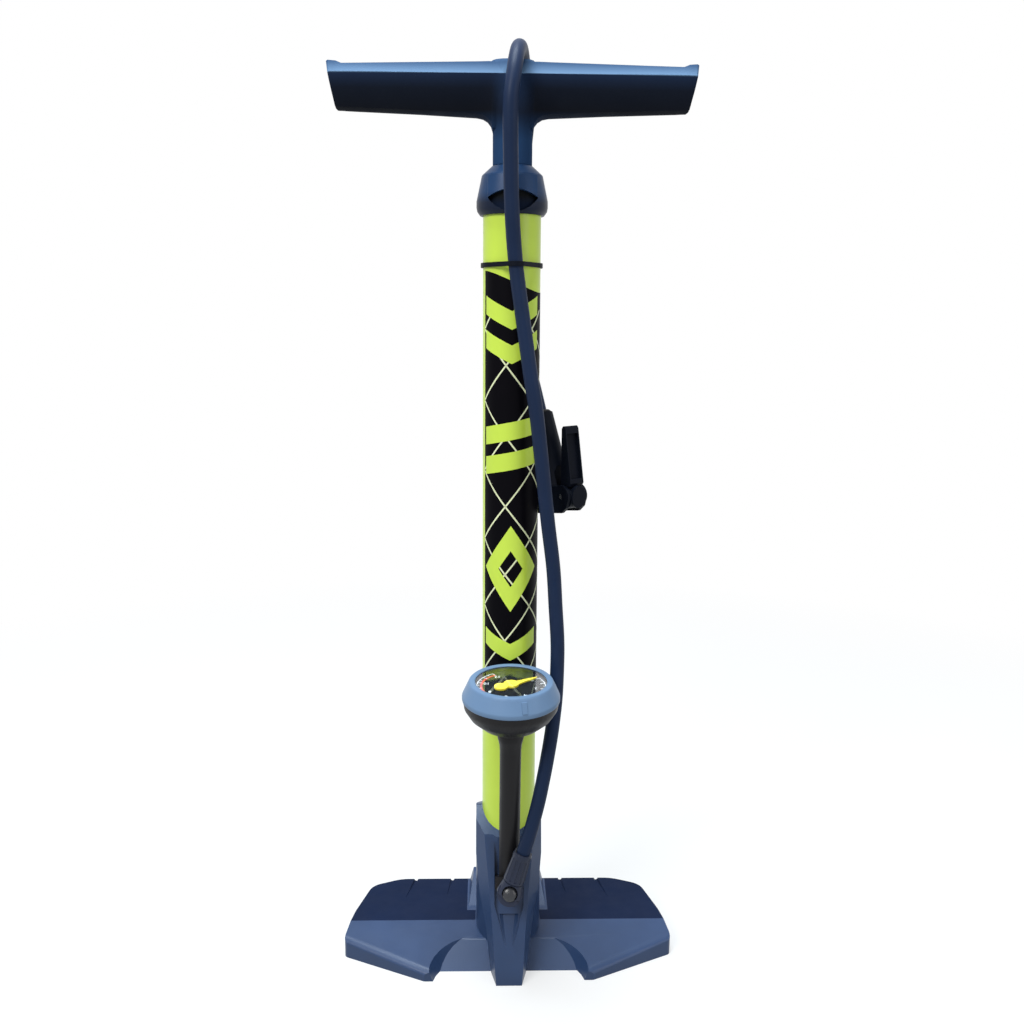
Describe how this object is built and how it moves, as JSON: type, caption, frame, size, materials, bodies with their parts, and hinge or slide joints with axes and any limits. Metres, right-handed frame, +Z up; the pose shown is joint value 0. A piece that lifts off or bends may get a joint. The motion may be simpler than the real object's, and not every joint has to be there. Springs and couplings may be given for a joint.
{
  "type": "floor bike pump",
  "caption": "Floor pump for bicycle tyres: winged foot, slim barrel, T handle on a piston rod, pressure gauge on a stem, and a hose with a lever chuck stored over the handle.",
  "frame": {"origin": "on the floor under the barrel's axis", "axes": "+Z up along the barrel, -Y towards the gauge, +X to the right seen from the gauge side"},
  "size_m": [0.2392, 0.144, 0.6336],
  "materials": {
    "navy_plastic": "satin moulded plastic",
    "tread_rubber": "matte non-slip tread",
    "barrel_paint": "gloss yellow-green lacquer with a printed wrap",
    "black_rubber": "matte rubber",
    "grey_plastic": "moulded plastic",
    "steel": "bright steel",
    "poppet_rubber": "soft rubber",
    "white_plastic": "low friction plastic",
    "chrome_rod": "ground and plated",
    "black_plastic": "satin black plastic",
    "bezel_plastic": "satin blue-grey plastic",
    "lens": "clear plastic window",
    "dial_print": "printed dial",
    "needle_yellow": "moulded pointer on a steel arbor",
    "brass": "stamped brass",
    "lever_plastic": "satin moulded plastic",
    "hose_rubber": "ribbed rubber hose"
  },
  "bodies": {
    "base": {"base_foot": "navy_plastic", "left_tread": "tread_rubber", "right_tread": "tread_rubber", "barrel": "barrel_paint", "barrel_gasket": "black_rubber", "foot_plug": "grey_plastic", "plug_seal": "black_rubber", "plug_screws": "steel", "valve_spring": "steel", "barrel_cap": "navy_plastic", "rod_bush": "white_plastic", "rod_wiper": "black_rubber", "gauge_stem": "black_plastic", "gauge_cup": "black_plastic", "gauge_bezel": "bezel_plastic", "gauge_lens": "lens", "lens_gasket": "black_rubber", "dial_spacer": "black_plastic", "gauge_dial": "dial_print", "movement_frame": "brass", "bourdon_tube": "brass", "hose_elbow": "lever_plastic", "elbow_screw": "black_plastic", "hose_nut": "lever_plastic", "hose": "hose_rubber", "hose_tie": "black_plastic", "chuck_body": "navy_plastic", "chuck_ferrule": "black_plastic", "chuck_collar": "black_plastic", "chuck_grommet": "black_rubber", "lever_pin": "steel"},
    "plunger": {"handle": "navy_plastic", "handle_pin": "steel", "rod": "chrome_rod", "rod_bumper": "black_rubber", "piston": "grey_plastic", "piston_seal": "black_rubber", "piston_washer": "steel", "piston_nut": "steel"},
    "valve": {"valve_poppet": "poppet_rubber"},
    "needle": {"gauge_needle": "needle_yellow"},
    "sector": {"gear_sector": "brass"},
    "lever": {"chuck_lever": "lever_plastic"},
    "presser": {"chuck_plunger": "white_plastic"}
  },
  "joints": [
    {"name": "handle_slide", "type": "slide", "parent": "base", "child": "plunger", "axis": [0, 0, 1], "range_m": [0, 0.465], "deforming": ["hose"]},
    {"name": "lever_turn", "type": "hinge", "parent": "base", "child": "lever", "pos_m": [0.041, 0, 0.3407], "axis": [0.766, 0.6428, 0], "range_deg": [0, 90]},
    {"name": "presser_slide", "type": "slide", "parent": "base", "child": "presser", "axis": [-0.6428, 0.766, 0], "range_m": [0, 0.002]},
    {"name": "needle_turn", "type": "hinge", "parent": "base", "child": "needle", "pos_m": [0, -0.0535, 0.2137], "axis": [0, 0.0767, -0.9971], "range_deg": [0, 270], "stiffness_Nm_per_rad": 0.0005},
    {"name": "sector_turn", "type": "hinge", "parent": "base", "child": "sector", "pos_m": [-0.018, -0.0535, 0.2137], "axis": [0, -0.0767, 0.9971], "range_deg": [0, 54]},
    {"name": "valve_slide", "type": "slide", "parent": "base", "child": "valve", "axis": [0, 0, -1], "range_m": [0, 0.002], "stiffness_N_per_m": 150, "springref_m": -0.002, "deforming": ["valve_spring"]}
  ],
  "couplings": [
    {"joint": "presser_slide", "follows": "lever_turn", "m_per_rad": 0.00127},
    {"joint": "sector_turn", "follows": "needle_turn", "ratio": 0.2}
  ]
}
